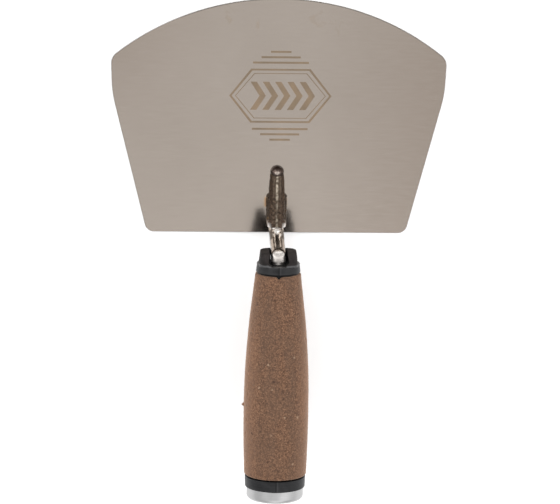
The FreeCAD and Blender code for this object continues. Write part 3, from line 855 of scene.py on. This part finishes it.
def build_weld_bead(node, side, seed):
    """Fillet weld laid as overlapping ripples between the foot's flank and the plate."""
    low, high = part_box(node)
    inner = min(abs(low.x), abs(high.x)) - 0.5 * MM
    reach = high.x - low.x + 0.5 * MM
    rise = high.z - BLADE_TOP
    steps = 96
    ribs = 22
    ripples = 11
    phase = random.Random(seed).random()
    inside = inner - 0.3 * MM
    under = BLADE_TOP - 0.05 * MM
    vertices = []
    starts = []
    for step in range(steps + 1):
        t = step / steps
        taper = min(1.0, math.sqrt(max(0.0, math.sin(math.pi * t))) * 1.8)
        wave = (t * ripples + phase) % 1.0
        ripple = 1.0 + 0.13 * (math.sqrt(1 - (2 * wave - 1) ** 2) - 0.6)
        y = high.y + (low.y - high.y) * t
        starts.append(len(vertices))
        for rib in range(ribs):
            angle = math.pi / 2 * rib / (ribs - 1)
            wobble = noise.noise(Vector((t * 26, angle * 2.4, seed))) * 0.20
            size = taper * (ripple + wobble)
            x = inner + reach * size * math.cos(angle) * 0.86
            z = BLADE_TOP + rise * size * math.sin(angle) * 0.9
            vertices.append((side * x, y, z))
        vertices.append((side * inside, y, BLADE_TOP + rise * taper * 0.5))
        vertices.append((side * inside, y, under))
        vertices.append((side * (inner + reach * 0.5 * taper), y, under))
    around = ribs + 3
    faces = tube_faces(starts, around)
    faces.append(tuple(range(starts[0], starts[0] + around)))
    faces.append(tuple(reversed(range(starts[-1], starts[-1] + around))))
    mesh = mesh_from(node + "_ripples", vertices, faces)
    add_piece(node + "_ripples", mesh, weld_material(), "weld_metal", node)


def build_nose_weld():
    """Rounded puddle of weld metal over the nose of the foot."""
    low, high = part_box("weld_nose")
    tip = high.y
    half = Vector(((high.x - low.x) / 2, 3.4 * MM, high.z - BLADE_TOP + 0.6 * MM))
    centre = Vector((0, tip - half.y, BLADE_TOP - 0.05 * MM))
    work = bmesh.new()
    bmesh.ops.create_icosphere(work, subdivisions=5, radius=1.0)
    for vertex in work.verts:
        direction = vertex.co.copy()
        direction.z = max(direction.z, 0.0)
        lump = 1.0 + 0.05 * noise.noise(direction * 2.3)
        vertex.co = centre + direction * half * lump
    bmesh.ops.remove_doubles(work, verts=work.verts, dist=1e-6)
    bmesh.ops.recalc_face_normals(work, faces=work.faces)
    mesh = bpy.data.meshes.new("nose_puddle")
    work.to_mesh(mesh)
    work.free()
    add_piece("nose_puddle", mesh, puddle_material(), "weld_metal", "weld_nose")


# ---------------------------------------------------------------- handle pieces

SEAM_WIDTH = 0.32 * MM
SEAM_DEPTH = 0.10 * MM


def seam(angle, width, radius):
    """1 on the mould seam along the top of the handle, 0 away from it."""
    away = abs(math.atan2(math.sin(angle - math.pi / 2), math.cos(angle - math.pi / 2))) * radius
    return hump(away, width)


def build_collar(material):
    """Front ferrule with eased edges, a slightly sunk skin and a mould seam along its top."""
    mesh = remeshed("collar_shell", "front_collar", voxel=0.22 * MM, smoothing=4)
    front = handle_profile("front_collar")[0].min()
    rear = handle_profile("front_collar")[0].max()
    band_length = 5.6 * MM
    axes = HANDLE.to_3x3()

    def band_relief(angle, radius, station):
        """How far the band's skin stands out: a lip in front, the seam, a sunk rear edge."""
        lip = hump(station - rear + 5.1 * MM, 0.35 * MM)
        sunk = window(station, rear - 0.75 * MM, rear + 1.0 * MM, 0.25 * MM)
        return 0.15 * MM * lip - SEAM_DEPTH * seam(angle, SEAM_WIDTH, radius) - 0.75 * MM * sunk

    def shift(place, normal):
        local = TO_HANDLE @ place
        angle = math.atan2(local.y, local.x)
        radius = math.hypot(local.x, local.y)
        move = Vector((0, 0, 0))
        if radius > 9 * MM and local.z > rear - band_length:
            move += Vector((local.x, local.y, 0)) / radius * band_relief(angle, radius, local.z)
            near_rear = window(local.z, rear - 0.4 * MM, rear + 1.0 * MM, 0.5 * MM)
            move.z += 1.1 * MM * seam(angle, 0.9 * MM, radius) * near_rear
        ahead = min(max((local.z - front) / (3.2 * MM), 0.0), 1.0)
        drop = 1.9 * MM * (1.0 - math.sqrt(1.0 - (1.0 - ahead) ** 2))
        move.y -= drop * min(max((local.y - 3.0 * MM) / (5.0 * MM), 0.0), 1.0)
        return axes @ move + normal * (noise.noise(place * 300.0) * 0.05 * MM)

    reshape(mesh, shift)
    add_piece("collar_shell", mesh, material, "black_plastic", "front_collar")


def grip_outline():
    """(stations, radii) of the cork's outer surface, one point for each station."""
    outer_station = []
    outer_radius = []
    for station, radius in zip(*handle_profile("cork_grip", 8 * MM)):
        if not outer_station or station - outer_station[-1] > 0.05 * MM:
            outer_station.append(station)
            outer_radius.append(radius)
        else:
            outer_radius[-1] = max(outer_radius[-1], radius)
    return outer_station, outer_radius


def cork_lift(place, angle, radius, station):
    """How far the cork's skin stands out: granules, soft waves, pits and one loose crumb."""
    lift = noise.noise(place * 900.0) * 0.085 * MM
    lift += noise.noise(place * 1900.0) * 0.065 * MM
    lift += noise.noise(place * 60.0) * 0.10 * MM
    pit = noise.noise(place * 420.0 + Vector((7, 3, 1)))
    lift -= 0.05 * MM + max(0.0, pit - 0.42) * 0.9 * MM
    crumb = Vector(((angle - math.pi * 0.985) * radius, station - 72.5 * MM)).length
    return lift + 1.3 * MM * hump(crumb, 0.8 * MM)


def build_grip():
    """Cork grip: granular skin, softened ends and a small nick at the mould line in front."""
    outer_station, outer_radius = grip_outline()
    first = handle_profile("cork_grip", 8 * MM)[0].min()
    last = handle_profile("cork_grip", 8 * MM)[0].max()
    bore = handle_profile("handle_core")[1].max() + 0.1 * MM
    end_face = bore + 2.5 * MM
    edge = 0.9 * MM
    edge_rings = 8
    around = 300
    along = 308
    vertices = []
    starts = []

    def outer(station):
        return np.interp(station, outer_station, outer_radius)

    def ring(station, radius, rough):
        starts.append(len(vertices))
        for step in range(around):
            angle = 2 * math.pi * step / around
            place = HANDLE @ Vector((radius * math.cos(angle), radius * math.sin(angle), station))
            lift = cork_lift(place, angle, radius, station - first) * rough if rough else 0.0
            r = radius + lift
            nick = 0.0
            if radius > bore + 1 * MM:
                nick = 1.3 * MM * math.exp(-(station - first) / (2.5 * MM)) * seam(angle, 0.95 * MM, radius)
            vertices.append(HANDLE @ Vector((r * math.cos(angle), r * math.sin(angle), station + nick)))

    def edge_ring(turn, inner, face, way):
        """A ring on the rounded edge, from the end face (turn 0) to the side (a quarter turn)."""
        radius = outer(inner) - edge * (1 - math.sin(turn))
        ring(face + way * edge * (1 - math.cos(turn)), radius, math.sin(turn) * 0.8)

    ring(first, bore, 0.0)
    ring(first, end_face, 0.0)
    for step in range(edge_rings):
        edge_ring(math.pi / 2 * step / edge_rings, first + edge, first, 1)
    for step in range(along + 1):
        station = first + edge + (last - first - 2 * edge) * step / along
        ring(station, outer(station), 1.0)
    for step in range(1, edge_rings + 1):
        edge_ring(math.pi / 2 * (1 - step / edge_rings), last - edge, last, -1)
    ring(last, end_face, 0.0)
    ring(last, bore, 0.0)
    mesh = mesh_from("cork_skin", vertices, tube_faces(starts + [starts[0]], around))
    add_piece("cork_skin", mesh, cork_material(), "moulded_cork", "cork_grip")


def rounded_corner(corner, before, after, radius, steps=6):
    """Points of a rounded corner of a profile."""
    corner = Vector(corner)
    back = (Vector(before) - corner).normalized()
    ahead = (Vector(after) - corner).normalized()
    points = []
    for step in range(steps + 1):
        t = step / steps
        start = corner + back * radius
        end = corner + ahead * radius
        points.append(tuple((1 - t) ** 2 * start + 2 * t * (1 - t) * corner + t ** 2 * end))
    return points


def build_ring(material):
    """Rear ring with eased edges, a recessed front step and the mould seam."""
    stations, radii = handle_profile("rear_ring", 12 * MM)
    first = stations.min()
    last = stations.max()
    front = radii[stations < first + 0.01 * MM].max()
    back = radii[stations > last - 0.01 * MM].max()
    core = handle_profile("handle_core")[1].max() + 0.1 * MM
    pocket = handle_profile("washer")[1].max() + 1.0 * MM
    floor = handle_profile("washer")[0].min()
    lip = first + 0.8 * MM
    neck = front - 0.8 * MM
    profile = [(core, first), (neck, first), (neck, lip)]
    profile += rounded_corner((front, lip), (neck, lip), (back, last), 0.35 * MM)
    middle = (first + last) / 2
    for step in range(13):
        t = 0.15 + 0.7 * step / 12
        profile.append((front + (back - front) * t, first + (last - first) * t))
    profile += rounded_corner((back, last), (front, first), (pocket, last), 0.4 * MM)
    profile += [(pocket, last), (pocket, floor), (core, floor)]

    def shape(radius, station, angle):
        if radius < front - 2 * MM:
            return 0.0
        place = Vector((math.cos(angle), math.sin(angle), (station - middle) * 60)) * 9.0
        return 0.03 * MM * noise.noise(place) - SEAM_DEPTH * seam(angle, SEAM_WIDTH, radius)

    mesh = lathe("ring_shell", profile, around=420, shape=shape)
    add_piece("ring_shell", mesh, material, "black_plastic", "rear_ring")


def build_cap():
    """Turned end cap: crisp shoulder, round rim, faced end with fine rings and a centre dimple."""
    stations, radii = handle_profile("end_cap")
    last = stations.max()
    shoulder = handle_profile("rear_ring")[0].max()
    outer = radii[stations > shoulder - 0.01 * MM].max()
    pocket = handle_profile("washer")[1].max() + 1.2 * MM
    inside = last - 2.5 * MM
    spigot = shoulder - 1.4 * MM
    rim = 2.0 * MM
    centre = 0.0001 * MM
    skirt = pocket + 2 * MM
    front = shoulder + 0.05 * MM
    profile = [(centre, inside), (pocket, inside), (pocket, spigot), (skirt, spigot), (skirt, front)]
    profile += rounded_corner((outer, front), (pocket, front), (outer, last), 0.25 * MM)
    profile += [(outer, shoulder + (last - rim - shoulder) * (step + 1) / 8) for step in range(7)]
    for step in range(11):
        turn = math.pi / 2 * step / 10
        profile.append((outer - rim * (1 - math.cos(turn)), last - rim * (1 - math.sin(turn))))
    turns = 60
    for step in range(1, turns):
        radius = (outer - rim) * (1 - step / turns)
        groove = 0.012 * MM * math.cos(step * math.pi)
        dimple = 0.35 * MM * hump(radius, 0.9 * MM)
        profile.append((radius, last - 0.05 * MM - groove - dimple))
    profile.append((centre, last - 0.40 * MM))
    mesh = lathe("cap_turned", profile, around=200)
    add_piece("cap_turned", mesh, aluminium_material(), "cap_aluminium", "end_cap")


def dress_node(node, material):
    """Give a CAD node that stays visible its material."""
    NODES[node].data.materials.clear()
    NODES[node].data.materials.append(material)


# ---------------------------------------------------------------- stage

def build_stage():
    """Large pale floor under the blade, soft sky and three large soft lamps."""
    half = 4.0
    sky_strength = 0.80
    mesh = bpy.data.meshes.new("floor")
    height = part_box("blade")[0].z - 0.05 * MM
    corners = [(-half, -half, height), (half, -half, height), (half, half, height), (-half, half, height)]
    mesh.from_pydata(corners, [], [(0, 1, 2, 3)])
    floor = bpy.data.objects.new("floor", mesh)
    SCENE.collection.objects.link(floor)
    mesh.materials.append(floor_material())

    world = bpy.data.worlds.new("soft_sky")
    SCENE.world = world
    world.use_nodes = True
    nodes = world.node_tree.nodes
    links = world.node_tree.links
    sky = nodes["Background"]
    place = nodes.new("ShaderNodeTexCoord")
    split = nodes.new("ShaderNodeSeparateXYZ")
    ramp = nodes.new("ShaderNodeValToRGB")
    links.new(place.outputs["Generated"], split.inputs["Vector"])
    links.new(split.outputs["Z"], ramp.inputs["Fac"])
    links.new(ramp.outputs["Color"], sky.inputs["Color"])
    stops = ramp.color_ramp.elements
    stops[0].position = 0.0
    stops[0].color = (1.0, 1.0, 1.0, 1)
    stops[1].position = 1.0
    stops[1].color = (0.94, 0.94, 0.94, 1)
    sky.inputs["Strength"].default_value = sky_strength

    lamps = (("key", (-1.15, 0.75, 1.25), 2.2, 23.5), ("fill", (1.25, 0.35, 1.15), 2.1, 16.0),
             ("back", (0.1, -1.2, 1.3), 1.3, 6.0))
    middle = Vector((0, -0.06, 0))
    for name, spot, width, power in lamps:
        data = bpy.data.lights.new(name, "AREA")
        data.size = width
        data.energy = power
        lamp = bpy.data.objects.new(name, data)
        SCENE.collection.objects.link(lamp)
        lamp.location = spot
        aim = middle - Vector(spot)
        lamp.rotation_euler = aim.to_track_quat("-Z", "Y").to_euler()


make_camera()
build_stage()
dress_node("blade", blade_material())
build_mark()
build_tang()
build_weld_bead("weld_bead_left", -1, 3)
build_weld_bead("weld_bead_right", 1, 8)
build_nose_weld()
PLASTIC = plastic_material()
build_collar(PLASTIC)
build_grip()
build_ring(PLASTIC)
build_cap()
STEEL = fastener_material()
dress_node("washer", STEEL)
dress_node("lock_nut", STEEL)
dress_node("handle_core", hidden_plastic_material())
